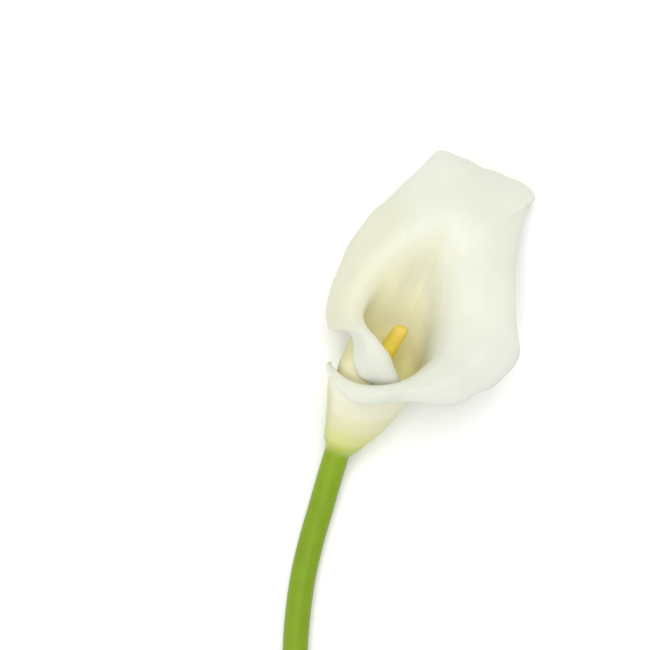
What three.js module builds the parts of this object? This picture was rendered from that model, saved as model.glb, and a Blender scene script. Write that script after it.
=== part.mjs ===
// A cut calla lily lying on a table with its mouth up. It grew as three organs: a stem, a white spathe
// that is one leaf rolled into a funnel, and a yellow spadix standing inside the funnel.
// Millimetres. X runs across the flower, Y along the stem towards the flower, Z up from the table.
import * as THREE from "three";

// Driving dimensions.
const baseHeight = 13.9; // of the foot of the funnel, above the table
const centreX = 30.07; // from the foot of the funnel to the middle of the whole flower, across
const centreY = -78.21; // and along
const tubeRise = 17; // degrees that the funnel's tube climbs from the table
const tubeSwing = 24.5; // degrees that it turns to the right of the stem's line
const tubeBend = 2.4; // sideways set of the foot of the tube, which is gone by bendEnd
const bendEnd = 60;
const sheetThickness = 1.0;
const hemThickness = 0.6; // of the sheet along its outline
const spiralGrowth = 1.9; // what a full turn of the rolled sheet gains, so that one layer clears the next
const seamTurn = 398; // where the inner margin ends, in degrees around the tube from its front
const seamDepth = 1.0; // how far inside the tube's profile the inner margin lies
const stemRadius = 6.1;
const cutRadius = 6.7; // of the cut end of the stem, a little thicker
const stemTop = 2.5; // height of the stem's top inside the foot of the tube
const spadixFoot = 3.2; // height of its foot, just clear of the stem's top
const spadixLength = 65.6;

// The tube's own directions: up its axis, to its right, and out of its front, which faces up.
const rise = THREE.MathUtils.degToRad(tubeRise);
const swing = THREE.MathUtils.degToRad(tubeSwing);
const along = new THREE.Vector3(
  Math.cos(rise) * Math.sin(swing), Math.cos(rise) * Math.cos(swing), Math.sin(rise));
const right = new THREE.Vector3(Math.cos(swing), -Math.sin(swing), 0);
const front = new THREE.Vector3().crossVectors(right, along);

// A place given by its turn around the tube (0 at the front, 90 at the right), the height up the axis
// and the distance from it.
function inTube(turn, height, radius) {
  const angle = THREE.MathUtils.degToRad(turn);
  const bend = -tubeBend * Math.max(0, 1 - height / bendEnd) ** 2;
  return new THREE.Vector3()
    .addScaledVector(along, height)
    .addScaledVector(front, radius * Math.cos(angle))
    .addScaledVector(right, radius * Math.sin(angle) + bend);
}

// The lower tube, the same all round: height and radius of the sheet's middle. The first point is the
// edge that clasps the stem.
const tubeProfile = [[1.8, 6.95], [3.2, 7.5], [8.5, 9.6], [19, 13.9]];

// The ribs of the sheet, from the outer margin at the left, round the front, the right and the back,
// to the inner margin tucked inside the front. Each rib gives its turn, the height and radius of its
// waist and of the throat's edge, the X, Y and Z of the limb's outline from the foot of the tube, how
// far the limb swells towards the viewer half-way, and how far its hem curls in and down.
const ribs = [
  [-92, 29, 19.8, 35.6, 22.0, -6.3, 41.8, 10.4, 0.2, -0.5, -0.3],
  [-80, 29.5, 20.1, 37.2, 22.5, -7.0, 41.9, 15.2, 0.3, -0.6, -0.3],
  [-68, 30, 20.4, 38.2, 23.0, -7.6, 40.8, 19.6, 0.5, -0.7, -0.2],
  [-53, 30.5, 20.6, 38.8, 23.7, -7.1, 37.4, 25.0, 1.0, -0.7, 0.2],
  [-39, 30.8, 20.6, 38.9, 23.6, -4.3, 33.2, 29.6, 1.8, -0.2, 1.0],
  [-25, 31.2, 20.4, 39.6, 23.9, -0.2, 28.0, 33.0, 2.2, 0.2, 1.4],
  [-10, 32, 20.2, 41.2, 24.0, 5.2, 24.5, 35.2, 2.8, 0.5, 1.6],
  [6, 33, 19.8, 44.3, 24.1, 12.2, 22.7, 36.2, 3.2, 0.6, 1.6],
  [20, 34, 19.5, 47.5, 23.7, 20.0, 23.4, 36.5, 3.4, 0.6, 1.6],
  [33, 35, 19.2, 51.3, 23.2, 28.8, 24.7, 36, 3.8, 0.8, 2.0],
  [46, 36, 19.0, 56.5, 23.2, 40.0, 23.1, 37, 5.0, 0.8, 2.0],
  [60, 37, 18.7, 62.5, 22.6, 52.6, 22.8, 36, 6.5, 0.8, 2.0],
  [68, 37.5, 18.5, 64.5, 21.2, 62.3, 27.3, 34, 7.5, 0.8, 2.0],
  [77, 38, 18.3, 67.0, 19.4, 71.2, 31.6, 32, 8.0, 0.8, 2.0],
  [92, 39, 18.1, 71.5, 17.2, 82.0, 45.4, 28, 9.0, 0.8, 2.5],
  [110, 40, 17.8, 78.0, 16.0, 80.8, 63.0, 21, 9.0, 1.0, 3.0],
  [130, 42, 17.6, 86.0, 15.4, 81.0, 81.0, 13, 9.0, 1.2, 3.5],
  [146, 44, 17.5, 93.0, 15.8, 83.7, 101.0, 4, 8.5, 1.2, 3.5],
  [154, 45, 17.5, 97.0, 16.3, 88.7, 116.5, -2, 7.5, 1.0, 2.5],
  [158, 45, 17.5, 98.8, 16.6, 91.2, 122.0, -4, 7.5, 0.8, 2.5],
  [162, 45, 17.5, 100.5, 16.9, 87.8, 126.6, -5, 7.5, 1.0, 3.0],
  [166, 45, 17.6, 101.8, 17.2, 82.4, 129.7, -4.5, 7.5, 1.4, 3.5],
  [170, 45, 17.6, 103.0, 17.5, 73.0, 133.4, -3, 7.0, 4.0, 6.5],
  [176, 45, 17.7, 104.0, 17.9, 64.0, 136.6, -2, 6.5, 13.0, 11.65],
  [184, 45, 17.7, 103.5, 18.1, 55.5, 140.8, -3, 6.0, 4.0, 6.5],
  [193, 45, 17.8, 102.0, 18.1, 45.5, 143.6, -5, 5.0, 1.2, 3.0],
  [204, 44.5, 17.8, 99.0, 18.1, 37.6, 135.7, -4, 5.0, 1.0, 2.5],
  [218, 44, 17.9, 94.5, 18.3, 26.0, 125.0, -1, 6.0, 1.0, 2.5],
  [232, 43.5, 18.1, 88.5, 18.8, 14.5, 113.5, 1, 6.0, 1.0, 2.5],
  [246, 43, 18.4, 82.0, 19.3, 4.5, 101.0, 4, 6.0, 1.0, 2.5],
  [262, 42, 18.9, 76.0, 19.8, -2.5, 87.0, 8, 6.0, 1.0, 2.5],
  [276, 41, 19.2, 71.0, 20.0, -6.9, 74.0, 13, 5.0, 1.0, 2.5],
  [288, 40, 19.4, 68.0, 20.2, -8.5, 63.5, 17, 5.0, 1.0, 2.5],
  [300, 39.5, 19.7, 66.0, 20.2, -6.0, 57.6, 21, 4.5, 1.0, 2.0],
  [314, 39, 19.3, 64.4, 19.8, -1.2, 57.8, 25, 4.0, 1.0, 2.0],
  [330, 38.5, 18.6, 63.2, 19.4, 3.6, 54.6, 29, 3.8, 0.8, 1.5],
  [345, 37.5, 17.5, 61.2, 19.3, 4.3, 45.0, 32, 4.0, 0.4, 1.0],
  [360, 36, 16.6, 58.2, 18.5, 6.2, 37.4, 32, 4.0, 0.2, 0.8],
  [374, 34, 16.0, 53.7, 18.2, 12.4, 33.2, 31, 3.6, -0.3, 0.8],
  [387, 32, 15.3, 49.4, 18.8, 18.5, 30.6, 30.6, 1.8, -0.7, 0.5],
  [398, 29.5, 14.5, 45.0, 18.6, 23.6, 28.2, 28.4, 1.0, -0.7, 0.2],
];

// How finely the surfaces are divided.
const stepsPerRib = 3;
const stepsPerSpan = [1, 2, 2, 3, 3, 4, 4, 2]; // from the clasping edge to the hem
const thinningFrom = 14; // steps before the hem at which the sheet begins to thin
const thinningTo = 8; // and at which it has its hem's thickness
const stemSides = 20;
const stemSteps = 42;
const spadixSides = 18;
const spadixSteps = 20;

// The corner points of one rib, from the edge that clasps the stem to the hem.
function ribPoints(rib) {
  const [turn, waistHeight, waistRadius, throatHeight, throatRadius] = rib;
  const [x, y, z, swell, hemIn, hemDown] = rib.slice(5);
  const outward = (spiralGrowth * (seamTurn - turn)) / 360 - seamDepth;
  const tube = tubeProfile.map(([height, radius], i) => {
    if (i === 0) return inTube(turn, height - outward, radius);
    const before = tubeProfile[i - 1];
    const after = tubeProfile[Math.min(i + 1, tubeProfile.length - 1)];
    const slope = new THREE.Vector2(after[0] - before[0], after[1] - before[1]).normalize();
    return inTube(turn, height - outward * slope.y, radius + outward * slope.x);
  });
  const waist = inTube(turn, waistHeight, waistRadius);
  const throat = inTube(turn, throatHeight, throatRadius);
  const rim = new THREE.Vector3(x, y, z);
  const limb = throat.clone().lerp(rim, 0.5);
  limb.z += swell;
  const inward = throat.clone().sub(rim).setZ(0).normalize();
  const hem = rim.clone().addScaledVector(inward, hemIn);
  hem.z -= hemDown;
  return [...tube, waist, throat, limb, rim, hem];
}

function smoothCurve(points) {
  return new THREE.CatmullRomCurve3(points, false, "centripetal");
}

// The middle of the sheet as rows of points: one row for each step around, base to hem.
function sheetRows() {
  const corners = ribs.map(ribPoints);
  const lines = corners[0].map((_, j) => smoothCurve(corners.map((rib) => rib[j])));
  const around = (ribs.length - 1) * stepsPerRib;
  const rows = [];
  for (let i = 0; i <= around; i++) {
    const rib = smoothCurve(lines.map((line) => line.getPoint(i / around)));
    const row = [rib.getPoint(0)];
    stepsPerSpan.forEach((steps, span) => {
      for (let k = 1; k <= steps; k++) {
        row.push(rib.getPoint((span + k / steps) / stepsPerSpan.length));
      }
    });
    rows.push(row);
  }
  return rows;
}

// The sheet's normal at row i, step j: square to the lines through the neighbouring points.
function sheetNormal(rows, i, j) {
  const last = rows.length - 1;
  const end = rows[0].length - 1;
  const acrossRows = rows[Math.min(i + 1, last)][j].clone().sub(rows[Math.max(i - 1, 0)][j]);
  const upRow = rows[i][Math.min(j + 1, end)].clone().sub(rows[i][Math.max(j - 1, 0)]);
  return acrossRows.cross(upRow).normalize();
}

function closedGeometry(points, triangles) {
  const geometry = new THREE.BufferGeometry().setFromPoints(points);
  geometry.setIndex(triangles);
  geometry.computeVertexNormals();
  return geometry;
}

// The spathe: the sheet given its thickness, closed along both margins, the hem and the clasping edge.
function spatheGeometry() {
  const rows = sheetRows();
  const count = rows[0].length;
  const last = rows.length - 1;
  const end = count - 1;
  const outside = [];
  const inside = [];
  rows.forEach((row, i) => {
    row.forEach((point, j) => {
      const thin = THREE.MathUtils.smoothstep(j, end - thinningFrom, end - thinningTo);
      const half = THREE.MathUtils.lerp(sheetThickness, hemThickness, thin) / 2;
      const normal = sheetNormal(rows, i, j);
      outside.push(point.clone().addScaledVector(normal, half));
      inside.push(point.clone().addScaledVector(normal, -half));
    });
  });
  const back = outside.length;
  const triangles = [];
  const quad = (a, b, c, d) => triangles.push(a, b, c, a, c, d);
  for (let i = 0; i < last; i++) {
    for (let j = 0; j < end; j++) {
      const a = i * count + j;
      const b = a + count;
      quad(a, b, b + 1, a + 1);
      quad(back + a, back + a + 1, back + b + 1, back + b);
    }
    const foot = i * count;
    const hem = foot + end;
    quad(foot, back + foot, back + foot + count, foot + count);
    quad(hem, hem + count, back + hem + count, back + hem);
  }
  for (let j = 0; j < end; j++) {
    const margin = last * count + j;
    quad(j, j + 1, back + j + 1, back + j);
    quad(margin, back + margin, back + margin + 1, margin + 1);
  }
  return closedGeometry([...outside, ...inside], triangles);
}

// A round body swept along a curve: radiusAt gives its radius from 0 at the start to 1 at the end.
function sweptGeometry(curve, radiusAt, sides, steps) {
  const points = [];
  const triangles = [];
  const up = new THREE.Vector3(0, 0, 1);
  for (let i = 0; i <= steps; i++) {
    const t = i / steps;
    const centre = curve.getPoint(t);
    const tangent = curve.getTangent(t);
    const sideways = new THREE.Vector3().crossVectors(tangent, up).normalize();
    const upward = new THREE.Vector3().crossVectors(sideways, tangent);
    for (let k = 0; k < sides; k++) {
      const angle = (2 * Math.PI * k) / sides;
      points.push(centre.clone()
        .addScaledVector(sideways, radiusAt(t) * Math.cos(angle))
        .addScaledVector(upward, radiusAt(t) * Math.sin(angle)));
    }
  }
  for (let i = 0; i < steps; i++) {
    for (let k = 0; k < sides; k++) {
      const a = i * sides + k;
      const b = i * sides + ((k + 1) % sides);
      triangles.push(a, a + sides, b, b, a + sides, b + sides);
    }
  }
  const start = points.length;
  points.push(curve.getPoint(0), curve.getPoint(1));
  for (let k = 0; k < sides; k++) {
    const next = (k + 1) % sides;
    triangles.push(start, k, next);
    triangles.push(start + 1, steps * sides + next, steps * sides + k);
  }
  return closedGeometry(points, triangles);
}

// The stem bends down from the foot of the tube until it lies on the table, and runs to its cut end.
function stemGeometry() {
  const lying = [
    [-16.8, -48.5], [-19.4, -60], [-21.3, -72], [-22.8, -86], [-23.6, -100],
    [-24.4, -130], [-25, -170], [-24.6, -220], [-23.2, -270], [-22, -300],
  ];
  const radiusAtY = (y) =>
    THREE.MathUtils.lerp(stemRadius, cutRadius, THREE.MathUtils.smoothstep(-y, 100, 300));
  const path = smoothCurve([
    inTube(0, stemTop, 0),
    inTube(0, -1.4, 0),
    new THREE.Vector3(-4.7, -6.0, -2.2),
    new THREE.Vector3(-7.5, -15.5, -4.6),
    new THREE.Vector3(-10.6, -26.5, -6.3),
    new THREE.Vector3(-14.0, -38.0, -7.6),
    ...lying.map(([x, y]) => new THREE.Vector3(x, y, radiusAtY(y) - baseHeight)),
  ]);
  return sweptGeometry(path, (t) => radiusAtY(path.getPoint(t).y), stemSides, stemSteps);
}

// The spadix: a blunt finger, a little narrower at its foot, that bows to the left of the tube's middle
// and crosses it near its end.
function spadixGeometry() {
  const radii = [3.3, 3.7, 3.9, 4.0, 4.05, 4.05, 4.0, 3.9, 3.7, 3.2, 1.2];
  const heights = [0, 0.08, 0.2, 0.35, 0.5, 0.65, 0.78, 0.87, 0.94, 0.98, 1];
  const bows = [0, -0.3, -0.9, -1.5, -1.7, -1.6, -1.1, -0.4, 0.3, 0.8, 1.0];
  const path = smoothCurve(heights.map((h, i) =>
    inTube(0, spadixFoot + h * spadixLength, 0).addScaledVector(right, bows[i])));
  const radiusAt = (t) => {
    const place = t * (radii.length - 1);
    const low = Math.min(Math.floor(place), radii.length - 2);
    return THREE.MathUtils.lerp(radii[low], radii[low + 1], place - low);
  };
  return sweptGeometry(path, radiusAt, spadixSides, spadixSteps);
}

function named(name, geometry, color, roughness) {
  const material = new THREE.MeshStandardMaterial({ color, roughness, metalness: 0 });
  const mesh = new THREE.Mesh(geometry, material);
  mesh.name = name;
  return mesh;
}

const flower = new THREE.Group();
flower.add(named("stem", stemGeometry(), 0x8daa35, 0.5));
flower.add(named("spathe", spatheGeometry(), 0xeeefdc, 0.5));
flower.add(named("spadix", spadixGeometry(), 0xe8c84a, 0.7));
flower.position.set(-centreX, -centreY, baseHeight);

export default flower;
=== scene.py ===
import math

import bpy
import numpy as np
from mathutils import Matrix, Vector


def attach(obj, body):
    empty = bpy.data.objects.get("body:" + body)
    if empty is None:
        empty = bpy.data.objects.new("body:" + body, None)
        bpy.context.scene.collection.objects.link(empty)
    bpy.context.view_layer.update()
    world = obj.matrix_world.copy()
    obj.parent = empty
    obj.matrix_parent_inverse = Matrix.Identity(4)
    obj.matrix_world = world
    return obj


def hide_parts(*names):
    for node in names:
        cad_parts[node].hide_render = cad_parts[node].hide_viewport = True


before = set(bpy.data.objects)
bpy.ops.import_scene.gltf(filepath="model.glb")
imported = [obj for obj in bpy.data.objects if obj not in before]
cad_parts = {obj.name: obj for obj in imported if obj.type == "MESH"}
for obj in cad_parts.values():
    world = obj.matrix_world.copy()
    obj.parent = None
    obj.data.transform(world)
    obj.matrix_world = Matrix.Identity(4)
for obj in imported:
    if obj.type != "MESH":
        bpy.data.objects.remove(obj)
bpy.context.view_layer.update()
mm = 0.001


# ---------------------------------------------------------------- stem
# The stalk of the flower: one smooth, juicy green shoot with a thin waxy skin over a spongy core.
# It bends down from the flower until it lies on the table, and a knife has cut it square at the far end.

FOOT = np.array([-30.07, 78.21, 13.9]) * mm  # the foot of the funnel, where the stem ends in it
TUBE_RISE = math.radians(17)  # the funnel's tube climbs from the table
TUBE_SWING = math.radians(24.5)  # and turns to the right of the stem's line
TUBE_BEND = 2.4 * mm  # sideways set of the tube's foot, gone by BEND_END
BEND_END = 60 * mm

ALONG = np.array([
    math.cos(TUBE_RISE) * math.sin(TUBE_SWING),
    math.cos(TUBE_RISE) * math.cos(TUBE_SWING),
    math.sin(TUBE_RISE),
])
RIGHT = np.array([math.cos(TUBE_SWING), -math.sin(TUBE_SWING), 0.0])
FRONT = np.cross(RIGHT, ALONG)

STEM_RADIUS = 6.1 * mm
CUT_RADIUS = 6.7 * mm  # the cut end is a little thicker
STEM_TOP = 2.5 * mm  # height of its top inside the funnel's foot
STEM_SIDES = 96
STEM_RINGS = 420
RIDGES = 17  # faint ribs that run down the skin
RIDGE_DEPTH = 0.05 * mm
SWELL_START = 100 * mm  # distance from the flower at which the stem begins to thicken
SWELL_LENGTH = 200 * mm


def in_tube(turn, height, radius):
    """A place given in degrees around the tube from its front, along its axis and out from it."""
    turn = np.radians(turn)
    bend = -TUBE_BEND * np.maximum(0, 1 - height / BEND_END) ** 2
    return (FOOT + np.multiply.outer(height, ALONG)
            + np.multiply.outer(radius * np.cos(turn), FRONT)
            + np.multiply.outer(radius * np.sin(turn) + bend, RIGHT))


def smooth_through(points, places):
    """Centripetal Catmull-Rom curves through points (first axis), read at places from 0 to 1."""
    points = np.asarray(points, float)
    last = len(points) - 1
    gaps = np.sqrt(np.linalg.norm(np.diff(points, axis=0), axis=-1))[..., None]
    ends = (2 * points[:1] - points[1:2], points, 2 * points[-1:] - points[-2:-1])
    padded = np.concatenate(ends)
    gaps = np.concatenate([gaps[:1], gaps, gaps[-1:]])
    place = np.clip(places, 0, 1) * last
    span = np.minimum(place.astype(int), last - 1)
    part = (place - span).reshape((-1,) + (1,) * (points.ndim - 1))
    p0, p1, p2, p3 = (padded[span + k] for k in range(4))
    g0, g1, g2 = (gaps[span + k] for k in range(3))
    leave = ((p1 - p0) / g0 - (p2 - p0) / (g0 + g1) + (p2 - p1) / g1) * g1
    arrive = ((p2 - p1) / g1 - (p3 - p1) / (g1 + g2) + (p3 - p2) / g2) * g1
    return (p1 + part * leave + part ** 2 * (3 * (p2 - p1) - 2 * leave - arrive)
            + part ** 3 * (2 * (p1 - p2) + leave + arrive))


def unit(vectors):
    return vectors / np.linalg.norm(vectors, axis=-1, keepdims=True)


def waves(seed, count, *positions):
    """Smooth hills and hollows between about -1 and 1, one summed wave for each random direction."""
    random = np.random.default_rng(seed)
    total = 0
    for _ in range(count):
        phase = random.uniform(0, 2 * math.pi)
        for position in positions:
            phase = phase + random.normal() * position
        total = total + np.sin(phase)
    return total / math.sqrt(count)


def mesh_piece(name, vertices, faces, values, materials, face_material=None):
    """A smooth mesh object; values are named numbers on its points that its material reads."""
    mesh = bpy.data.meshes.new(name)
    mesh.from_pydata(np.asarray(vertices).tolist(), [], faces)
    for value_name, numbers in values.items():
        layer = mesh.attributes.new(value_name, "FLOAT", "POINT")
        layer.data.foreach_set("value", np.asarray(numbers, np.float32).ravel())
    for material in materials:
        mesh.materials.append(material)
    mesh.polygons.foreach_set("use_smooth", [True] * len(mesh.polygons))
    if face_material is not None:
        mesh.polygons.foreach_set("material_index", face_material)
    mesh.update()
    piece = bpy.data.objects.new(name, mesh)
    bpy.context.scene.collection.objects.link(piece)
    return piece


def colour(red, green, blue):
    """A screen colour from 0 to 255 as the linear colour that a shader takes."""
    shares = [value / 255 for value in (red, green, blue)]
    linear = [s / 12.92 if s <= 0.04045 else ((s + 0.055) / 1.055) ** 2.4 for s in shares]
    return (*linear, 1.0)


def add_node(tree, kind, values=None, **settings):
    """A shader node with its settings and the values of its unlinked inputs."""
    node = tree.nodes.new("ShaderNode" + kind)
    for name, value in settings.items():
        setattr(node, name, value)
    for socket, value in (values or {}).items():
        node.inputs[socket].default_value = value
    return node


def calculate(tree, operation, first, second=0.0):
    """A Math node; first and second are sockets or numbers."""
    node = add_node(tree, "Math", operation=operation)
    for socket, value in zip(node.inputs, (first, second)):
        if isinstance(value, bpy.types.NodeSocket):
            tree.links.new(value, socket)
        else:
            socket.default_value = value
    return node.outputs[0]


def ramp(tree, source, stops, interpolation="EASE"):
    """A Color Ramp read at source; stops are (place, colour) pairs."""
    node = add_node(tree, "ValToRGB")
    node.color_ramp.interpolation = interpolation
    elements = node.color_ramp.elements
    while len(elements) < len(stops):
        elements.new(0.5)
    for element, (place, shade) in zip(elements, stops):
        element.position = place
        element.color = shade
    tree.links.new(source, node.inputs["Fac"])
    return node.outputs["Color"]


def mix_colours(tree, share, first, second, blend_type="MIX"):
    """A colour Mix node; each of share, first and second is a socket or a value."""
    node = add_node(tree, "Mix", data_type="RGBA", blend_type=blend_type)
    for name, value in (("Factor_Float", share), ("A_Color", first), ("B_Color", second)):
        socket = next(s for s in node.inputs if s.identifier == name)
        if isinstance(value, bpy.types.NodeSocket):
            tree.links.new(value, socket)
        else:
            socket.default_value = value
    return next(s for s in node.outputs if s.identifier == "Result_Color")


def new_group(name, inputs, outputs):
    """An empty shader node group; inputs are (name, kind, value), outputs (name, kind)."""
    group = bpy.data.node_groups.new(name, "ShaderNodeTree")
    for socket, kind, value in inputs:
        made = group.interface.new_socket(socket, in_out="INPUT", socket_type="NodeSocket" + kind)
        made.default_value = value
    for socket, kind in outputs:
        group.interface.new_socket(socket, in_out="OUTPUT", socket_type="NodeSocket" + kind)
    return group, group.nodes.new("NodeGroupInput"), group.nodes.new("NodeGroupOutput")


def place_group(tree, group, values):
    """The group as a node; each of values is a socket or a value."""
    node = tree.nodes.new("ShaderNodeGroup")
    node.node_tree = group
    for name, value in values.items():
        if isinstance(value, bpy.types.NodeSocket):
            tree.links.new(value, node.inputs[name])
        else:
            node.inputs[name].default_value = value
    return node.outputs


def tissue_mottle_group():
    """Soft uneven colour, as living tissue has: patches that are a little lighter or darker."""
    group, taken, given = new_group(
        "tissue_mottle",
        [("Color", "Color", (1, 1, 1, 1)), ("Patches", "Float", 60.0), ("Amount", "Float", 0.05)],
        [("Color", "Color"), ("Mask", "Float")])
    where = add_node(group, "TexCoord")
    noise = add_node(group, "TexNoise", {"Detail": 4.0, "Roughness": 0.55})
    group.links.new(where.outputs["Object"], noise.inputs["Vector"])
    group.links.new(taken.outputs["Patches"], noise.inputs["Scale"])
    swing = calculate(group, "MULTIPLY_ADD", noise.outputs["Fac"], 2.0)
    swing.node.inputs[2].default_value = -1.0
    change = calculate(group, "MULTIPLY", swing, taken.outputs["Amount"])
    factor = calculate(group, "ADD", change, 1.0)
    scaled = add_node(group, "VectorMath", operation="SCALE")
    group.links.new(taken.outputs["Color"], scaled.inputs[0])
    group.links.new(factor, scaled.inputs["Scale"])
    group.links.new(scaled.outputs[0], given.inputs["Color"])
    group.links.new(noise.outputs["Fac"], given.inputs["Mask"])
    return group


def long_veins_group():
    """Fine lines that run along the organ, given a number that grows around it."""
    group, taken, given = new_group(
        "long_veins",
        [("Around", "Float", 0.0), ("Count", "Float", 40.0), ("Waver", "Float", 0.1),
         ("Width", "Float", 0.3)],
        [("Lines", "Float")])
    where = add_node(group, "TexCoord")
    noise = add_node(group, "TexNoise", {"Scale": 45.0, "Detail": 2.0})
    group.links.new(where.outputs["Object"], noise.inputs["Vector"])
    drift = calculate(group, "MULTIPLY", noise.outputs["Fac"], taken.outputs["Waver"])
    counted = calculate(group, "MULTIPLY", taken.outputs["Around"], taken.outputs["Count"])
    wave = calculate(group, "PINGPONG", calculate(group, "ADD", counted, drift), 0.5)
    near = calculate(group, "DIVIDE", wave, taken.outputs["Width"])
    line = calculate(group, "SUBTRACT", 1.0, calculate(group, "MINIMUM", near, 1.0))
    group.links.new(line, given.inputs["Lines"])
    return group


def skin_cells_group():
    """The grain of a plant's skin: tiny domed cells, a height for a Bump node."""
    group, taken, given = new_group(
        "skin_cells", [("Cells", "Float", 2200.0)], [("Height", "Float")])
    where = add_node(group, "TexCoord")
    cells = add_node(group, "TexVoronoi", {"Randomness": 0.9})
    group.links.new(where.outputs["Object"], cells.inputs["Vector"])
    group.links.new(taken.outputs["Cells"], cells.inputs["Scale"])
    dome = calculate(group, "SUBTRACT", 1.0, cells.outputs["Distance"])
    group.links.new(dome, given.inputs["Height"])
    return group


tissue_mottle = tissue_mottle_group()
long_veins = long_veins_group()
skin_cells = skin_cells_group()


def attribute(tree, name):
    return add_node(tree, "Attribute", attribute_name=name).outputs["Fac"]


def waxy_green_skin():
    """Mid green, lighter and yellower towards the flower, with faint long streaks under a wax film."""
    material = bpy.data.materials.new("waxy_green_skin")
    material.use_nodes = True
    tree = material.node_tree
    shader = tree.nodes["Principled BSDF"]
    down = attribute(tree, "down")
    green = ramp(tree, down, [
        (0.0, colour(152, 178, 42)),
        (0.025, colour(128, 156, 10)),
        (0.12, colour(120, 149, 7)),
        (0.6, colour(118, 148, 8)),
        (1.0, colour(132, 160, 30)),
    ])
    lines = place_group(tree, long_veins, {
        "Around": attribute(tree, "around"), "Count": 34.0, "Waver": 1.4, "Width": 0.35,
    })["Lines"]
    darker = mix_colours(tree, calculate(tree, "MULTIPLY", lines, 0.28), green, colour(112, 148, 40))
    mottled = place_group(tree, tissue_mottle, {"Color": darker, "Patches": 90.0, "Amount": 0.16})
    tree.links.new(mottled["Color"], shader.inputs["Base Color"])
    gloss = calculate(tree, "MULTIPLY_ADD", mottled["Mask"], 0.18)
    gloss.node.inputs[2].default_value = 0.36
    tree.links.new(gloss, shader.inputs["Roughness"])
    grain = place_group(tree, skin_cells, {"Cells": 1800.0})["Height"]
    bump = add_node(tree, "Bump", {"Strength": 0.35, "Distance": 0.05 * mm})
    tree.links.new(calculate(tree, "ADD", grain, lines), bump.inputs["Height"])
    tree.links.new(bump.outputs["Normal"], shader.inputs["Normal"])
    shader.inputs["Subsurface Weight"].default_value = 0.25
    shader.inputs["Subsurface Radius"].default_value = (1.2 * mm, 2.0 * mm, 0.5 * mm)
    shader.inputs["Subsurface Scale"].default_value = 1.0
    shader.inputs["Specular IOR Level"].default_value = 0.3
    return material


def spongy_cut_face():
    """The cut: a dark rim of skin, a pale green ring, and an almost white core full of air pores, whose
    hollows are painted darker as shade.
    """
    material = bpy.data.materials.new("spongy_cut_face")
    material.use_nodes = True
    tree = material.node_tree
    shader = tree.nodes["Principled BSDF"]
    flesh = ramp(tree, attribute(tree, "across"), [
        (0.0, colour(226, 232, 190)),
        (0.62, colour(214, 224, 166)),
        (0.86, colour(176, 200, 104)),
        (0.97, colour(120, 154, 48)),
    ])
    where = add_node(tree, "TexCoord")
    pores = add_node(tree, "TexVoronoi", {"Scale": 1500.0, "Randomness": 0.75})
    tree.links.new(where.outputs["Object"], pores.inputs["Vector"])
    # Painted shade in the pores: a darker green at the middle of each, where the bump sinks it.
    pore_shade = ramp(tree, pores.outputs["Distance"], [
        (0.12, colour(150, 170, 96)),
        (0.34, colour(255, 255, 255)),
    ])
    base = mix_colours(tree, 0.7, flesh, pore_shade, "MULTIPLY")
    mottled = place_group(tree, tissue_mottle, {"Color": base, "Patches": 500.0, "Amount": 0.14})
    tree.links.new(mottled["Color"], shader.inputs["Base Color"])
    bump = add_node(tree, "Bump", {"Strength": 0.8, "Distance": 0.15 * mm})
    tree.links.new(pores.outputs["Distance"], bump.inputs["Height"])
    tree.links.new(bump.outputs["Normal"], shader.inputs["Normal"])
    shader.inputs["Roughness"].default_value = 0.42
    shader.inputs["Subsurface Weight"].default_value = 0.3
    shader.inputs["Subsurface Radius"].default_value = (1.5 * mm, 1.8 * mm, 0.8 * mm)
    shader.inputs["Subsurface Scale"].default_value = 1.0
    return material


def stem_radius(y):
    """The stem thickens from below the flower to its cut; y is the place along the table."""
    part = np.clip((FOOT[1] - y - SWELL_START) / SWELL_LENGTH, 0, 1)
    return STEM_RADIUS + (CUT_RADIUS - STEM_RADIUS) * part ** 2 * (3 - 2 * part)


def stem_path():
    """The stem's middle, from its top in the funnel to its cut end."""
    bend = np.array([
        [-4.7, -6.0, -2.2], [-7.5, -15.5, -4.6], [-10.6, -26.5, -6.3], [-14.0, -38.0, -7.6],
    ]) * mm + FOOT
    lying = np.array([
        [-16.8, -48.5], [-19.4, -60], [-21.3, -72], [-22.8, -86], [-23.6, -100],
        [-24.4, -130], [-25, -170], [-24.6, -220], [-23.2, -270], [-22, -300],
    ]) * mm + FOOT[:2]
    on_table = np.column_stack([lying, stem_radius(lying[:, 1])])
    return np.vstack([in_tube(0, STEM_TOP, 0), in_tube(0, -1.4 * mm, 0), bend, on_table])


def ring_frame(middle):
    """The directions across each ring of a swept body: sideways and upwards."""
    tangent = unit(np.gradient(middle, axis=0))
    sideways = unit(np.cross(tangent, [0, 0, 1]))
    return tangent, sideways, np.cross(sideways, tangent)


def ring_faces(rings, sides, start=0):
    """Quads between rings of points, each ring closed on itself."""
    faces = []
    for i in range(rings - 1):
        for k in range(sides):
            a = start + i * sides + k
            b = start + i * sides + (k + 1) % sides
            faces.append((a, a + sides, b + sides, b))
    return faces


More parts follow.
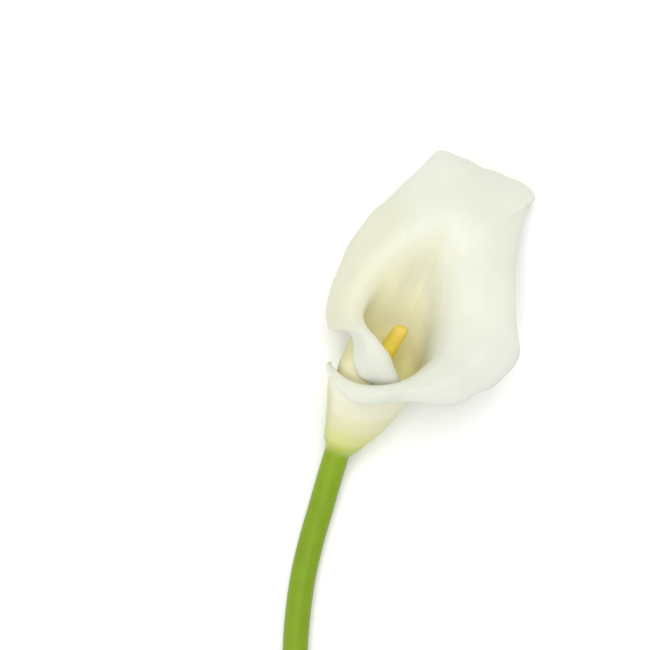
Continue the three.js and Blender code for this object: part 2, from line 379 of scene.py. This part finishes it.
def build_stem():
    middle = smooth_through(stem_path(), np.linspace(0, 1, STEM_RINGS))
    tangent, sideways, upward = ring_frame(middle)
    walked = np.concatenate([[0], np.cumsum(np.linalg.norm(np.diff(middle, axis=0), axis=1))])
    down = walked[:, None] / walked[-1] * np.ones(STEM_SIDES)
    angle = np.linspace(0, 2 * math.pi, STEM_SIDES, endpoint=False)[None, :] + 0 * down
    lumps = waves(4, 9, 14 * down, 1.0 * np.cos(angle), 1.0 * np.sin(angle))
    ridges = np.cos(RIDGES * angle + 1.5 * np.sin(9 * down)) * (0.6 + 0.4 * np.cos(3 * angle))
    radius = stem_radius(middle[:, 1])[:, None] + RIDGE_DEPTH * ridges + 0.06 * mm * lumps
    cut_back = np.clip((walked[-1] - walked[:, None]) / (0.5 * mm), 0, 1)
    radius = radius - 0.25 * mm * (1 - np.sqrt(1 - (1 - cut_back) ** 2))
    wall = (middle[:, None] + radius[..., None] * (
        np.cos(angle)[..., None] * sideways[:, None] + np.sin(angle)[..., None] * upward[:, None]))

    # The cut face: rings from the rim to the core, a little uneven where the knife dragged.
    inward = np.array([0.985, 0.95, 0.9, 0.82, 0.7, 0.56, 0.42, 0.28, 0.14, 0.03])
    share = inward[:, None] + 0 * angle[:1]
    rough = waves(8, 7, 5 * share * np.cos(angle[:1]), 5 * share * np.sin(angle[:1]))
    proud = 0.10 * mm * rough + 0.18 * mm * np.exp(-((share - 0.93) / 0.05) ** 2)
    rim = wall[-1] - middle[-1]
    cut = middle[-1] + share[..., None] * rim[None] + proud[..., None] * tangent[-1]

    # The top, hidden in the funnel, closes in a low dome.
    top_share = np.array([0.05, 0.4, 0.7, 0.9])[:, None] + 0 * angle[:1]
    dome = middle[0] + top_share[..., None] * (wall[0] - middle[0])[None] \
        - (0.12 * STEM_RADIUS * (1 - top_share ** 2))[..., None] * tangent[0]

    grid = np.concatenate([dome, wall, cut])
    faces = ring_faces(len(grid), STEM_SIDES)
    first, last = grid.shape[0] * STEM_SIDES, (grid.shape[0] - 1) * STEM_SIDES
    vertices = np.vstack([grid.reshape(-1, 3), dome[0].mean(0), cut[-1].mean(0)])
    for k in range(STEM_SIDES):
        faces.append((first, k, (k + 1) % STEM_SIDES))
        faces.append((first + 1, last + (k + 1) % STEM_SIDES, last + k))
    cut_starts = (len(dome) + len(wall) - 1) * STEM_SIDES
    cut_ends = last
    on_cut = [1 if cut_starts <= i < cut_ends else 0 for i in range(len(faces))]
    on_cut[cut_ends:] = [0, 1] * STEM_SIDES
    values = {
        "down": np.concatenate([np.zeros(dome[..., 0].size), down.ravel(),
                                np.ones(cut[..., 0].size), [0, 1]]),
        "around": np.append(np.tile(np.abs(np.linspace(-1, 1, STEM_SIDES)), len(grid)), [0, 0]),
        "across": np.concatenate([np.ones(dome[..., 0].size + down.size), share.ravel(), [1, 0]]),
    }
    return mesh_piece("stem_skin", vertices, faces, values,
                      [waxy_green_skin(), spongy_cut_face()], on_cut)


stem = build_stem()
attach(stem, "root")
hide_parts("stem")


# ---------------------------------------------------------------- spathe
# The white leaf of the flower: one satin sheet about a millimetre thick, rolled once around into a
# funnel. Its outer margin ends in a small ear at the left, the inner one is tucked inside the front
# as a rounded flap, the limb flares out wide, and the green tip curls down behind the top edge.

SHEET_THICKNESS = 1.0 * mm
HEM_THICKNESS = 0.6 * mm
SPIRAL_GROWTH = 1.9 * mm  # what a full turn gains, so that one layer clears the next
SEAM_TURN = 398  # degrees around the tube at which the inner margin ends
SEAM_DEPTH = 1.0 * mm
TIP_TURN = 176  # degrees around the tube at which the green tip stands
TIP_SPREAD = 7 * mm  # how far its green runs into the white
COLLAR_REACH = 0.9 * mm  # how far the sheet runs down the stem at its foot
GROWN_IN = 0.1 * mm  # how deep its edge is sunk into the stem there
LIP_ANGLES = (45, 90, 135)  # degrees around the sheet's edge, from one face to the other
TUBE_PROFILE = np.array([[1.8, 6.95], [3.2, 7.5], [8.5, 9.6], [19, 13.9]]) * mm
STEPS_PER_RIB = 12
STEPS_PER_SPAN = [3, 3, 4, 6, 8, 8, 12, 12, 6]  # from the collar on the stem to the hem

# The ribs of the sheet, from the outer margin round to the inner one: the turn, the height and radius
# of the waist and of the throat's edge, the X, Y and Z of the outline from the foot, how far the limb
# swells half-way, and how far its hem curls back in and down.
RIBS = np.array([
    [-92, 29, 19.8, 35.6, 22.0, -6.3, 41.8, 10.4, 0.2, -0.5, -0.3],
    [-80, 29.5, 20.1, 37.2, 22.5, -7.0, 41.9, 15.2, 0.3, -0.6, -0.3],
    [-68, 30, 20.4, 38.2, 23.0, -7.6, 40.8, 19.6, 0.5, -0.7, -0.2],
    [-53, 30.5, 20.6, 38.8, 23.7, -7.1, 37.4, 25.0, 1.0, -0.7, 0.2],
    [-39, 30.8, 20.6, 38.9, 23.6, -4.3, 33.2, 29.6, 1.8, -0.2, 1.0],
    [-25, 31.2, 20.4, 39.6, 23.9, -0.2, 28.0, 33.0, 2.2, 0.2, 1.4],
    [-10, 32, 20.2, 41.2, 24.0, 5.2, 24.5, 35.2, 2.8, 0.5, 1.6],
    [6, 33, 19.8, 44.3, 24.1, 12.2, 22.7, 36.2, 3.2, 0.6, 1.6],
    [20, 34, 19.5, 47.5, 23.7, 20.0, 23.4, 36.5, 3.4, 0.6, 1.6],
    [33, 35, 19.2, 51.3, 23.2, 28.8, 24.7, 36, 3.8, 0.8, 2.0],
    [46, 36, 19.0, 56.5, 23.2, 40.0, 23.1, 37, 5.0, 0.8, 2.0],
    [60, 37, 18.7, 62.5, 22.6, 52.6, 22.8, 36, 6.5, 0.8, 2.0],
    [68, 37.5, 18.5, 64.5, 21.2, 62.3, 27.3, 34, 7.5, 0.8, 2.0],
    [77, 38, 18.3, 67.0, 19.4, 71.2, 31.6, 32, 8.0, 0.8, 2.0],
    [92, 39, 18.1, 71.5, 17.2, 82.0, 45.4, 28, 9.0, 0.8, 2.5],
    [110, 40, 17.8, 78.0, 16.0, 80.8, 63.0, 21, 9.0, 1.0, 3.0],
    [130, 42, 17.6, 86.0, 15.4, 81.0, 81.0, 13, 9.0, 1.2, 3.5],
    [146, 44, 17.5, 93.0, 15.8, 83.7, 101.0, 4, 8.5, 1.2, 3.5],
    [154, 45, 17.5, 97.0, 16.3, 88.7, 116.5, -2, 7.5, 1.0, 2.5],
    [158, 45, 17.5, 98.8, 16.6, 91.2, 122.0, -4, 7.5, 0.8, 2.5],
    [162, 45, 17.5, 100.5, 16.9, 87.8, 126.6, -5, 7.5, 1.0, 3.0],
    [166, 45, 17.6, 101.8, 17.2, 82.4, 129.7, -4.5, 7.5, 1.4, 3.5],
    [170, 45, 17.6, 103.0, 17.5, 73.0, 133.4, -3, 7.0, 4.0, 6.5],
    [176, 45, 17.7, 104.0, 17.9, 64.0, 136.6, -2, 6.5, 13.0, 11.65],
    [184, 45, 17.7, 103.5, 18.1, 55.5, 140.8, -3, 6.0, 4.0, 6.5],
    [193, 45, 17.8, 102.0, 18.1, 45.5, 143.6, -5, 5.0, 1.2, 3.0],
    [204, 44.5, 17.8, 99.0, 18.1, 37.6, 135.7, -4, 5.0, 1.0, 2.5],
    [218, 44, 17.9, 94.5, 18.3, 26.0, 125.0, -1, 6.0, 1.0, 2.5],
    [232, 43.5, 18.1, 88.5, 18.8, 14.5, 113.5, 1, 6.0, 1.0, 2.5],
    [246, 43, 18.4, 82.0, 19.3, 4.5, 101.0, 4, 6.0, 1.0, 2.5],
    [262, 42, 18.9, 76.0, 19.8, -2.5, 87.0, 8, 6.0, 1.0, 2.5],
    [276, 41, 19.2, 71.0, 20.0, -6.9, 74.0, 13, 5.0, 1.0, 2.5],
    [288, 40, 19.4, 68.0, 20.2, -8.5, 63.5, 17, 5.0, 1.0, 2.5],
    [300, 39.5, 19.7, 66.0, 20.2, -6.0, 57.6, 21, 4.5, 1.0, 2.0],
    [314, 39, 19.3, 64.4, 19.8, -1.2, 57.8, 25, 4.0, 1.0, 2.0],
    [330, 38.5, 18.6, 63.2, 19.4, 3.6, 54.6, 29, 3.8, 0.8, 1.5],
    [345, 37.5, 17.5, 61.2, 19.3, 4.3, 45.0, 32, 4.0, 0.4, 1.0],
    [360, 36, 16.6, 58.2, 18.5, 6.2, 37.4, 32, 4.0, 0.2, 0.8],
    [374, 34, 16.0, 53.7, 18.2, 12.4, 33.2, 31, 3.6, -0.3, 0.8],
    [387, 32, 15.3, 49.4, 18.8, 18.5, 30.6, 30.6, 1.8, -0.7, 0.5],
    [398, 29.5, 14.5, 45.0, 18.6, 23.6, 28.2, 28.4, 1.0, -0.7, 0.2],
])


def rib_corners(rib):
    """The corner points of one rib, from its collar on the stem to its hem."""
    turn = rib[0]
    waist_height, waist_radius, throat_height, throat_radius = rib[1:5] * mm
    x, y, z, swell, hem_in, hem_down = rib[5:] * mm
    outward = SPIRAL_GROWTH * (SEAM_TURN - turn) / 360 - SEAM_DEPTH
    slope = unit(np.gradient(TUBE_PROFILE, axis=0))
    slope[1:-1] = unit(TUBE_PROFILE[2:] - TUBE_PROFILE[:-2])
    height, radius = TUBE_PROFILE.T.copy()
    height[0] -= outward
    height[1:] -= outward * slope[1:, 1]
    radius[1:] += outward * slope[1:, 0]
    collar = in_tube(turn, -COLLAR_REACH - 0.4 * outward, STEM_RADIUS - GROWN_IN)
    tube = [in_tube(turn, h, r) for h, r in zip(height, radius)]
    waist = in_tube(turn, waist_height, waist_radius)
    throat = in_tube(turn, throat_height, throat_radius)
    rim = FOOT + np.array([x, y, z])
    limb = (throat + rim) / 2 + np.array([0, 0, swell])
    inward = unit((throat - rim) * [1, 1, 0])
    hem = rim + inward * hem_in - np.array([0, 0, hem_down])
    return np.array([collar, *tube, waist, throat, limb, rim, hem])


def sheet_middle():
    """The middle of the sheet: rows around from margin to margin, columns from collar to hem."""
    corners = np.array([rib_corners(rib) for rib in RIBS])
    rows = smooth_through(corners, np.linspace(0, 1, (len(RIBS) - 1) * STEPS_PER_RIB + 1))
    spans = len(STEPS_PER_SPAN)
    places = [(span + k / steps) / spans
              for span, steps in enumerate(STEPS_PER_SPAN) for k in range(steps)] + [1.0]
    return smooth_through(rows.transpose(1, 0, 2), np.array(places)).transpose(1, 0, 2)


def sheet_normals(middle):
    return unit(np.cross(np.gradient(middle, axis=0), np.gradient(middle, axis=1)))


def share_along(middle, first, last):
    """How far each column lies along its row from column first to last, by the length walked."""
    steps = np.linalg.norm(np.diff(middle, axis=1), axis=2)
    walked = np.concatenate([np.zeros((len(middle), 1)), np.cumsum(steps, axis=1)], axis=1)
    start, end = walked[:, first:first + 1], walked[:, last:last + 1]
    return np.clip((walked - start) / (end - start), 0, 1)


def rise(value, start, length):
    """0 up to start, then rising evenly to 1 over length."""
    return np.clip((value - start) / length, 0, 1)


def fall(value, end, length):
    """1 until length before end, then falling evenly to 0 at end."""
    return np.clip((end - value) / length, 0, 1)


def tint_shares(degrees, reach):
    """How much of each tint a place takes, for its outer and its inner face.

    degrees is the place's turn around the tube; reach is 0 at the collar, 0.5 at the throat's edge
    and 1 at the hem.
    """
    # The tucked inner layer's outer face takes the inner face's colours too, with their painted shade.
    cream = rise(degrees, 280, 20) * fall(reach, 0.56, 0.08)
    veined = 0.03 + 0.14 * np.exp(-((reach - 0.14) / 0.14) ** 2)
    thin = 0.1 + 0.25 * rise(reach, 0.45, 0.3)

    # Darker and yellower, partly the sheet's own yellow and partly painted shade: the tube's left edge
    # at the outer margin, the layer tucked under it, and the back of the throat.
    left_edge_shade = 0.6 * fall(degrees, -45, 18)
    tucked_layer_shade = rise(degrees, 240, 25) * fall(degrees, 345, 20)
    tucked_layer_shade = 0.8 * tucked_layer_shade * np.clip((reach - 0.3) / 0.08 + (300 - degrees) / 20, 0, 1)
    margin = (left_edge_shade + tucked_layer_shade) * fall(reach, 0.46, 0.1)
    throat_back_shade = rise(degrees, 165, 20) * fall(degrees, 222, 15)
    throat_back_shade = 0.15 * throat_back_shade * rise(reach, 0.38, 0.05) * fall(reach, 0.62, 0.08)

    # Paler: the left wall of the throat, where painted light stands in for light that the lamp doesn't
    # bring there. Warmer on the left of the funnel, cooler on its right limb.
    pale = rise(degrees, 205, 25) * fall(degrees, 290, 30)
    pale = 0.75 * pale * fall(reach, 0.54, 0.12)
    warm = 0.5 + 0.5 * rise(degrees, 200, 40) * fall(degrees, 330, 40)
    cool = rise(degrees, -40, 100) * fall(degrees, 125, 45)
    warm = warm - 0.5 * cool * rise(reach, 0.42, 0.08)
    return {
        "inside": (cream, np.ones_like(reach)),
        "veined": (veined, 0.3 * veined),
        "thin": (thin, thin),
        # margin carries painted shade: on the outer face over the tube's left edge and the tucked layer,
        # on the inner face over the back of the throat.
        "margin": (margin, throat_back_shade),
        "pale": (pale, pale),
        "warm": (warm, warm),
    }


def satin_white_leaf():
    """Cream white with a hint of green, yellow-green deep in the funnel and at its foot, green tip, with
    painted shade in the throat, on the tube's left edge and on the tucked layer, and painted light on
    the throat's left wall.
    """
    material = bpy.data.materials.new("satin_white_leaf")
    material.use_nodes = True
    tree = material.node_tree
    shader = tree.nodes["Principled BSDF"]
    outer = ramp(tree, attribute(tree, "reach"), [
        (0.0, colour(150, 178, 60)),
        (0.035, colour(181, 192, 80)),
        (0.10, colour(211, 214, 137)),
        (0.20, colour(221, 219, 177)),
        (0.30, colour(233, 231, 201)),
        (0.42, colour(246, 246, 224)),
        (0.60, colour(254, 254, 240)),
        (1.0, colour(254, 254, 242)),
    ])
    # The inner face: yellow deep in the tube, then greyer and darker around the throat's edge, which is
    # painted shade, then cream white over the limb.
    inner = ramp(tree, attribute(tree, "reach"), [
        (0.10, colour(255, 250, 160)),
        (0.26, colour(255, 250, 190)),
        (0.33, colour(236, 231, 194)),
        (0.46, colour(216, 214, 191)),
        (0.54, colour(227, 227, 210)),
        (0.62, colour(234, 236, 222)),
        (1.0, colour(239, 241, 230)),
    ])
    # Painted light: the pale share lightens the throat's shaded left wall towards a light cream.
    painted_light_inner = mix_colours(tree, attribute(tree, "pale"), inner, colour(250, 247, 216))
    sided = mix_colours(tree, attribute(tree, "inside"), outer, painted_light_inner)
    # Painted shade: the margin share darkens these places towards a dull yellow.
    yellower = mix_colours(tree, attribute(tree, "margin"), sided, colour(200, 200, 138))
    tint = ramp(tree, attribute(tree, "warm"), [
        (0.0, colour(246, 247, 250)),
        (0.5, colour(255, 255, 255)),
        (1.0, colour(253, 252, 243)),
    ])
    tinted = mix_colours(tree, 1.0, yellower, tint, "MULTIPLY")
    lines = place_group(tree, long_veins, {
        "Around": attribute(tree, "turned"), "Count": 95.0, "Waver": 1.6, "Width": 0.32,
    })["Lines"]
    vein_share = calculate(tree, "MULTIPLY", lines, attribute(tree, "veined"))
    veined = mix_colours(tree, vein_share, tinted, colour(204, 214, 140))
    tip = mix_colours(tree, attribute(tree, "tip"), veined, colour(118, 150, 52))
    mottled = place_group(tree, tissue_mottle, {"Color": tip, "Patches": 70.0, "Amount": 0.035})
    tree.links.new(mottled["Color"], shader.inputs["Base Color"])
    gloss = calculate(tree, "MULTIPLY_ADD", mottled["Mask"], 0.16)
    gloss.node.inputs[2].default_value = 0.42
    tree.links.new(gloss, shader.inputs["Roughness"])
    grain = place_group(tree, skin_cells, {"Cells": 1500.0})["Height"]
    bump = add_node(tree, "Bump", {"Strength": 0.25, "Distance": 0.06 * mm})
    relief = calculate(tree, "ADD", grain, calculate(tree, "MULTIPLY", lines, 1.2))
    tree.links.new(relief, bump.inputs["Height"])
    tree.links.new(bump.outputs["Normal"], shader.inputs["Normal"])
    shader.inputs["Subsurface Weight"].default_value = 0.3
    shader.inputs["Subsurface Radius"].default_value = (2.6 * mm, 2.5 * mm, 1.4 * mm)
    shader.inputs["Subsurface Scale"].default_value = 1.0
    shader.inputs["Sheen Weight"].default_value = 0.05

    # The sheet is thin enough for light to come through from behind.
    glow = add_node(tree, "BsdfTranslucent")
    tree.links.new(mottled["Color"], glow.inputs["Color"])
    both = add_node(tree, "MixShader")
    tree.links.new(attribute(tree, "thin"), both.inputs["Fac"])
    tree.links.new(shader.outputs["BSDF"], both.inputs[1])
    tree.links.new(glow.outputs["BSDF"], both.inputs[2])
    tree.links.new(both.outputs["Shader"], tree.nodes["Material Output"].inputs["Surface"])
    return material


def round_lip(middle, normals, half, edge_walk):
    """Points around the sheet's whole edge, where its two faces meet in a round lip."""
    last_row, last_column = middle.shape[0] - 1, middle.shape[1] - 1
    lip = []
    for i, j in edge_walk:
        away = np.zeros(3)
        if i in (0, last_row):
            away += unit(middle[i, j] - middle[min(max(i, 1), last_row - 1), j])
        if j in (0, last_column):
            away += unit(middle[i, j] - middle[i, min(max(j, 1), last_column - 1)])
        away = unit(away)
        for angle in LIP_ANGLES:
            tilt = math.radians(angle)
            lip.append(middle[i, j] + half[i, j] * (
                math.cos(tilt) * normals[i, j] + math.sin(tilt) * away))
    return np.array(lip)


def sheet_faces(rows, columns, edge_walk):
    """Quads over the outer face, the inner face and the lip between them."""
    count = rows * columns
    faces = []
    for i in range(rows - 1):
        for j in range(columns - 1):
            a = i * columns + j
            faces.append((a, a + columns, a + columns + 1, a + 1))
            faces.append((count + a, count + a + 1, count + a + columns + 1, count + a + columns))

    def across_edge(k):
        i, j = edge_walk[k]
        on_lip = range(2 * count + len(LIP_ANGLES) * k, 2 * count + len(LIP_ANGLES) * (k + 1))
        return [i * columns + j, *on_lip, count + i * columns + j]

    for k in range(len(edge_walk)):
        here, there = across_edge(k), across_edge((k + 1) % len(edge_walk))
        for n in range(len(LIP_ANGLES) + 1):
            faces.append((here[n], there[n], there[n + 1], here[n + 1]))
    return faces


def build_spathe():
    middle = sheet_middle()
    rows, columns = middle.shape[:2]
    throat_column = sum(STEPS_PER_SPAN[:6])
    hem_column = columns - 1
    around = np.linspace(0, 1, rows)[:, None] + np.zeros((1, columns))
    turned = np.interp(around, np.linspace(0, 1, len(RIBS)), RIBS[:, 0]) / 360
    tube_share = share_along(middle, 0, throat_column)
    limb_share = share_along(middle, throat_column, hem_column)

    # A living sheet is never quite even: slow swells over the limb, and shallow ribs along its veins.
    normals = sheet_normals(middle)
    walked_x, walked_y = middle[..., 0] / mm, middle[..., 1] / mm
    swells = waves(21, 8, walked_x / 9, walked_y / 9) * 0.22 * mm * limb_share
    edge = waves(5, 6, 130 * around) * 0.45 * mm * np.clip(limb_share * 1.6 - 0.6, 0, 1) ** 2
    ribbing = np.cos(2 * math.pi * 46 * turned) * 0.02 * mm * (1 - 0.8 * limb_share)
    middle = middle + normals * (swells + edge + ribbing)[..., None]
    normals = sheet_normals(middle)

    thinning = np.clip((limb_share - 0.05) / 0.35, 0, 1)
    half = ((SHEET_THICKNESS + (HEM_THICKNESS - SHEET_THICKNESS) * thinning) / 2)[..., None]
    outside = middle + normals * half
    inside = middle - normals * half

    edge_walk = ([(0, j) for j in range(columns - 1)] + [(i, hem_column) for i in range(rows - 1)]
                 + [(rows - 1, j) for j in range(hem_column, 0, -1)]
                 + [(i, 0) for i in range(rows - 1, 0, -1)])
    lip = round_lip(middle, normals, half, edge_walk)
    edge_index = tuple(np.array(edge_walk).T)

    def over_all(on_outside, on_inside):
        on_lip = np.repeat((on_outside[edge_index] + on_inside[edge_index]) / 2, len(LIP_ANGLES))
        return np.concatenate([on_outside.ravel(), on_inside.ravel(), on_lip])

    reach = 0.5 * tube_share + 0.5 * limb_share
    tip_row = int(np.argmin(np.abs(RIBS[:, 0] - TIP_TURN))) * STEPS_PER_RIB
    from_tip = np.linalg.norm(middle - middle[tip_row, hem_column], axis=2)
    near_tip = np.exp(-(from_tip / TIP_SPREAD) ** 2)
    shares = {"reach": (reach, reach), "turned": (turned, turned), "tip": (near_tip, near_tip),
              **tint_shares(360 * turned, reach)}
    values = {name: over_all(*faces_share) for name, faces_share in shares.items()}
    vertices = np.concatenate([outside.reshape(-1, 3), inside.reshape(-1, 3), lip])
    faces = sheet_faces(rows, columns, edge_walk)
    return mesh_piece("spathe_leaf", vertices, faces, values, [satin_white_leaf()])


spathe = build_spathe()
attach(spathe, "root")
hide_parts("spathe")


# ---------------------------------------------------------------- spadix
# The yellow finger in the funnel: a fleshy spike that is covered all over with tiny flowers, packed
# in spirals. It grows on from the stem's top, and its upper part is dusty with pollen.

SPADIX_FOOT = 2.4 * mm  # height of its foot, sunk into the stem's top
SPADIX_TOP = 68.8 * mm
SPADIX_SIDES = 168
SPADIX_RINGS = 430
FLORETS = 1500
FLORET_RADIUS = 0.62 * mm
FLORET_HEIGHT = 0.26 * mm
SPADIX_CAP = 3.8 * mm  # length of its blunt round end
SPADIX_BOW = np.array([
    [0, 0], [0.08, -0.5], [0.2, -1.0], [0.35, -1.5], [0.5, -1.7],
    [0.65, -1.6], [0.78, -1.1], [0.87, -0.4], [0.94, 0.3], [1, 1.0],
])  # how far its middle lies to the right of the tube's, along its length, in millimetres
GOLDEN_ANGLE = math.pi * (3 - math.sqrt(5))


def pollen_yellow():
    """Warm yellow flowers, darker between them as painted shade, greener and paler low down."""
    material = bpy.data.materials.new("pollen_yellow")
    material.use_nodes = True
    tree = material.node_tree
    shader = tree.nodes["Principled BSDF"]
    flesh = ramp(tree, attribute(tree, "up"), [
        (0.0, colour(226, 220, 120)),
        (0.3, colour(241, 212, 76)),
        (0.75, colour(255, 229, 80)),
        (1.0, colour(222, 200, 90)),
    ])
    # Painted shade between the flowers: where the dome share is low, a darker yellow.
    shaded_between_florets = mix_colours(tree, 1.0, flesh, colour(246, 232, 190), "MULTIPLY")
    domed = mix_colours(tree, attribute(tree, "dome"), shaded_between_florets, flesh)
    mottled = place_group(tree, tissue_mottle, {"Color": domed, "Patches": 900.0, "Amount": 0.16})
    tree.links.new(mottled["Color"], shader.inputs["Base Color"])
    rough = calculate(tree, "MULTIPLY_ADD", mottled["Mask"], 0.2)
    rough.node.inputs[2].default_value = 0.58
    tree.links.new(rough, shader.inputs["Roughness"])
    grain = place_group(tree, skin_cells, {"Cells": 5200.0})["Height"]
    bump = add_node(tree, "Bump", {"Strength": 0.5, "Distance": 0.05 * mm})
    tree.links.new(grain, bump.inputs["Height"])
    tree.links.new(bump.outputs["Normal"], shader.inputs["Normal"])
    shader.inputs["Subsurface Weight"].default_value = 0.3
    shader.inputs["Subsurface Radius"].default_value = (1.2 * mm, 0.9 * mm, 0.3 * mm)
    shader.inputs["Subsurface Scale"].default_value = 1.0
    return material


def spadix_radius(share):
    """Its outline: a little narrower at the foot, and a blunt round end."""
    places = [0, 0.08, 0.2, 0.35, 0.5, 0.65, 0.78, 0.87, 0.94, 1.0]
    radii = np.array([3.2, 3.6, 3.8, 3.9, 3.95, 3.97, 3.92, 3.8, 3.65, 3.55]) * mm
    even = np.linspace(0, 1, len(places))
    body = smooth_through(radii[:, None], np.interp(share, places, even))[:, 0]
    cap = SPADIX_CAP / (SPADIX_TOP - SPADIX_FOOT)
    into_cap = np.clip((share - (1 - cap)) / cap, 0, 1)
    return body * np.sqrt(np.maximum(1 - into_cap ** 2.3, 0))


def build_spadix():
    # Rings lie closer together in the round end, so that its flowers stay as fine.
    share = np.sin(np.linspace(0, math.pi / 2, SPADIX_RINGS)) * 0.12
    share = np.linspace(0, 1, SPADIX_RINGS) * 0.88 + share
    share[-1] = 1.0
    length = SPADIX_TOP - SPADIX_FOOT
    radius = spadix_radius(share)
    angle = np.linspace(0, 2 * math.pi, SPADIX_SIDES, endpoint=False)
    bow_place = np.interp(share, SPADIX_BOW[:, 0], np.linspace(0, 1, len(SPADIX_BOW)))
    bow = smooth_through(SPADIX_BOW[:, 1:] * mm, bow_place)

    number = np.arange(FLORETS)
    floret_share = (number + 0.5) / FLORETS
    floret_angle = (number * GOLDEN_ANGLE) % (2 * math.pi)
    floret_radius = np.interp(floret_share, share, radius)
    dome = np.zeros((SPADIX_RINGS, SPADIX_SIDES))
    for at, turn, wide in zip(floret_share, floret_angle, floret_radius):
        near = np.flatnonzero(np.abs(share - at) * length < 2 * FLORET_RADIUS)
        across = (angle - turn + math.pi) % (2 * math.pi) - math.pi
        close = np.flatnonzero(np.abs(across) * max(wide, FLORET_RADIUS) < 2 * FLORET_RADIUS)
        along_gap = (share[near] - at)[:, None] * length
        drop = (radius[near] - wide)[:, None]
        gap = np.sqrt(along_gap ** 2 + drop ** 2 + (across[close][None] * wide) ** 2)
        bump = np.sqrt(np.maximum(1 - (gap / FLORET_RADIUS) ** 2, 0))
        block = dome[np.ix_(near, close)]
        dome[np.ix_(near, close)] = np.maximum(block, bump)

    middle = in_tube(0, SPADIX_FOOT + share * length, 0) + bow * RIGHT
    slope = np.gradient(radius, share * length)
    outward = unit(np.stack([np.ones_like(slope), -slope], axis=1))
    tall = (dome - 0.5) * FLORET_HEIGHT
    across = (np.cos(angle)[:, None] * FRONT + np.sin(angle)[:, None] * RIGHT)[None]
    away = radius[:, None] + tall * outward[:, :1]
    points = (middle[:, None] + away[..., None] * across
              + (tall * outward[:, 1:])[..., None] * ALONG)

    faces = ring_faces(SPADIX_RINGS, SPADIX_SIDES)
    faces = [face[::-1] for face in faces]
    foot, tip = SPADIX_RINGS * SPADIX_SIDES, SPADIX_RINGS * SPADIX_SIDES + 1
    start = (SPADIX_RINGS - 1) * SPADIX_SIDES
    for k in range(SPADIX_SIDES):
        faces.append((foot, (k + 1) % SPADIX_SIDES, k))
        faces.append((tip, start + k, start + (k + 1) % SPADIX_SIDES))
    vertices = np.vstack([points.reshape(-1, 3), middle[0], middle[-1]])
    values = {
        "up": np.append(np.repeat(share, SPADIX_SIDES), [0, 1]),
        "dome": np.append(dome.ravel(), [0, 1]),
    }
    return mesh_piece("spadix_spike", vertices, faces, values, [pollen_yellow()])


spadix = build_spadix()
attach(spadix, "root")
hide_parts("spadix")


# ---------------------------------------------------------------- table, camera and light
# The flower lies on a plain pale table, and the camera looks straight down on it from above. A broad
# soft lamp hangs beyond the flower, a weaker one stands at the near left, and the room is bright.

TABLE_SIZE = 6.0
CAMERA_HEIGHT = 2000 * mm  # above the foot of the funnel
VIEW_WIDTH = 312 * mm  # what the picture shows at that height
VIEW_MIDDLE = FOOT[:2] + np.array([-9.12, 60.0]) * mm
SENSOR_WIDTH = 36  # of the camera, in millimetres as Blender takes it
FARTHEST_SEEN = 20
FLOWER_MIDDLE = (0.0, 0.14, 0.02)  # what both lamps point at
ROOM_BRIGHTNESS = 0.65


def pale_table():
    material = bpy.data.materials.new("pale_table")
    material.use_nodes = True
    tree = material.node_tree
    shader = tree.nodes["Principled BSDF"]
    shade = place_group(tree, tissue_mottle, {
        "Color": (0.93, 0.93, 0.925, 1), "Patches": 6.0, "Amount": 0.006})
    tree.links.new(shade["Color"], shader.inputs["Base Color"])
    shader.inputs["Roughness"].default_value = 0.8
    shader.inputs["Specular IOR Level"].default_value = 0.2
    return material


half_table = TABLE_SIZE / 2
table = mesh_piece(
    "table_top",
    [(-half_table, -half_table, 0), (half_table, -half_table, 0),
     (half_table, half_table, 0), (-half_table, half_table, 0)],
    [(0, 1, 2, 3)], {}, [pale_table()])

camera_data = bpy.data.cameras.new("camera")
camera_data.sensor_width = SENSOR_WIDTH
camera_data.lens = SENSOR_WIDTH * CAMERA_HEIGHT / VIEW_WIDTH
camera_data.clip_end = FARTHEST_SEEN
camera = bpy.data.objects.new("camera", camera_data)
camera.location = (*VIEW_MIDDLE, FOOT[2] + CAMERA_HEIGHT)
bpy.context.scene.collection.objects.link(camera)
bpy.context.scene.camera = camera


def soft_lamp(name, place, aim, size, power):
    """A square lamp that points from place to aim."""
    data = bpy.data.lights.new(name, "AREA")
    data.shape = "SQUARE"
    data.size = size
    data.energy = power
    lamp = bpy.data.objects.new(name, data)
    lamp.location = place
    lamp.rotation_euler = (Vector(aim) - Vector(place)).to_track_quat("-Z", "Y").to_euler()
    bpy.context.scene.collection.objects.link(lamp)


soft_lamp("window_lamp", (0.10, 0.95, 2.5), FLOWER_MIDDLE, size=1.6, power=35.5)
soft_lamp("fill_lamp", (-0.7, -0.9, 1.7), FLOWER_MIDDLE, size=1.2, power=13.0)

world = bpy.data.worlds.new("bright_room")
world.use_nodes = True
world.node_tree.nodes["Background"].inputs["Color"].default_value = (1, 1, 1, 1)
world.node_tree.nodes["Background"].inputs["Strength"].default_value = ROOM_BRIGHTNESS
bpy.context.scene.world = world
bpy.context.scene.view_settings.view_transform = "Standard"
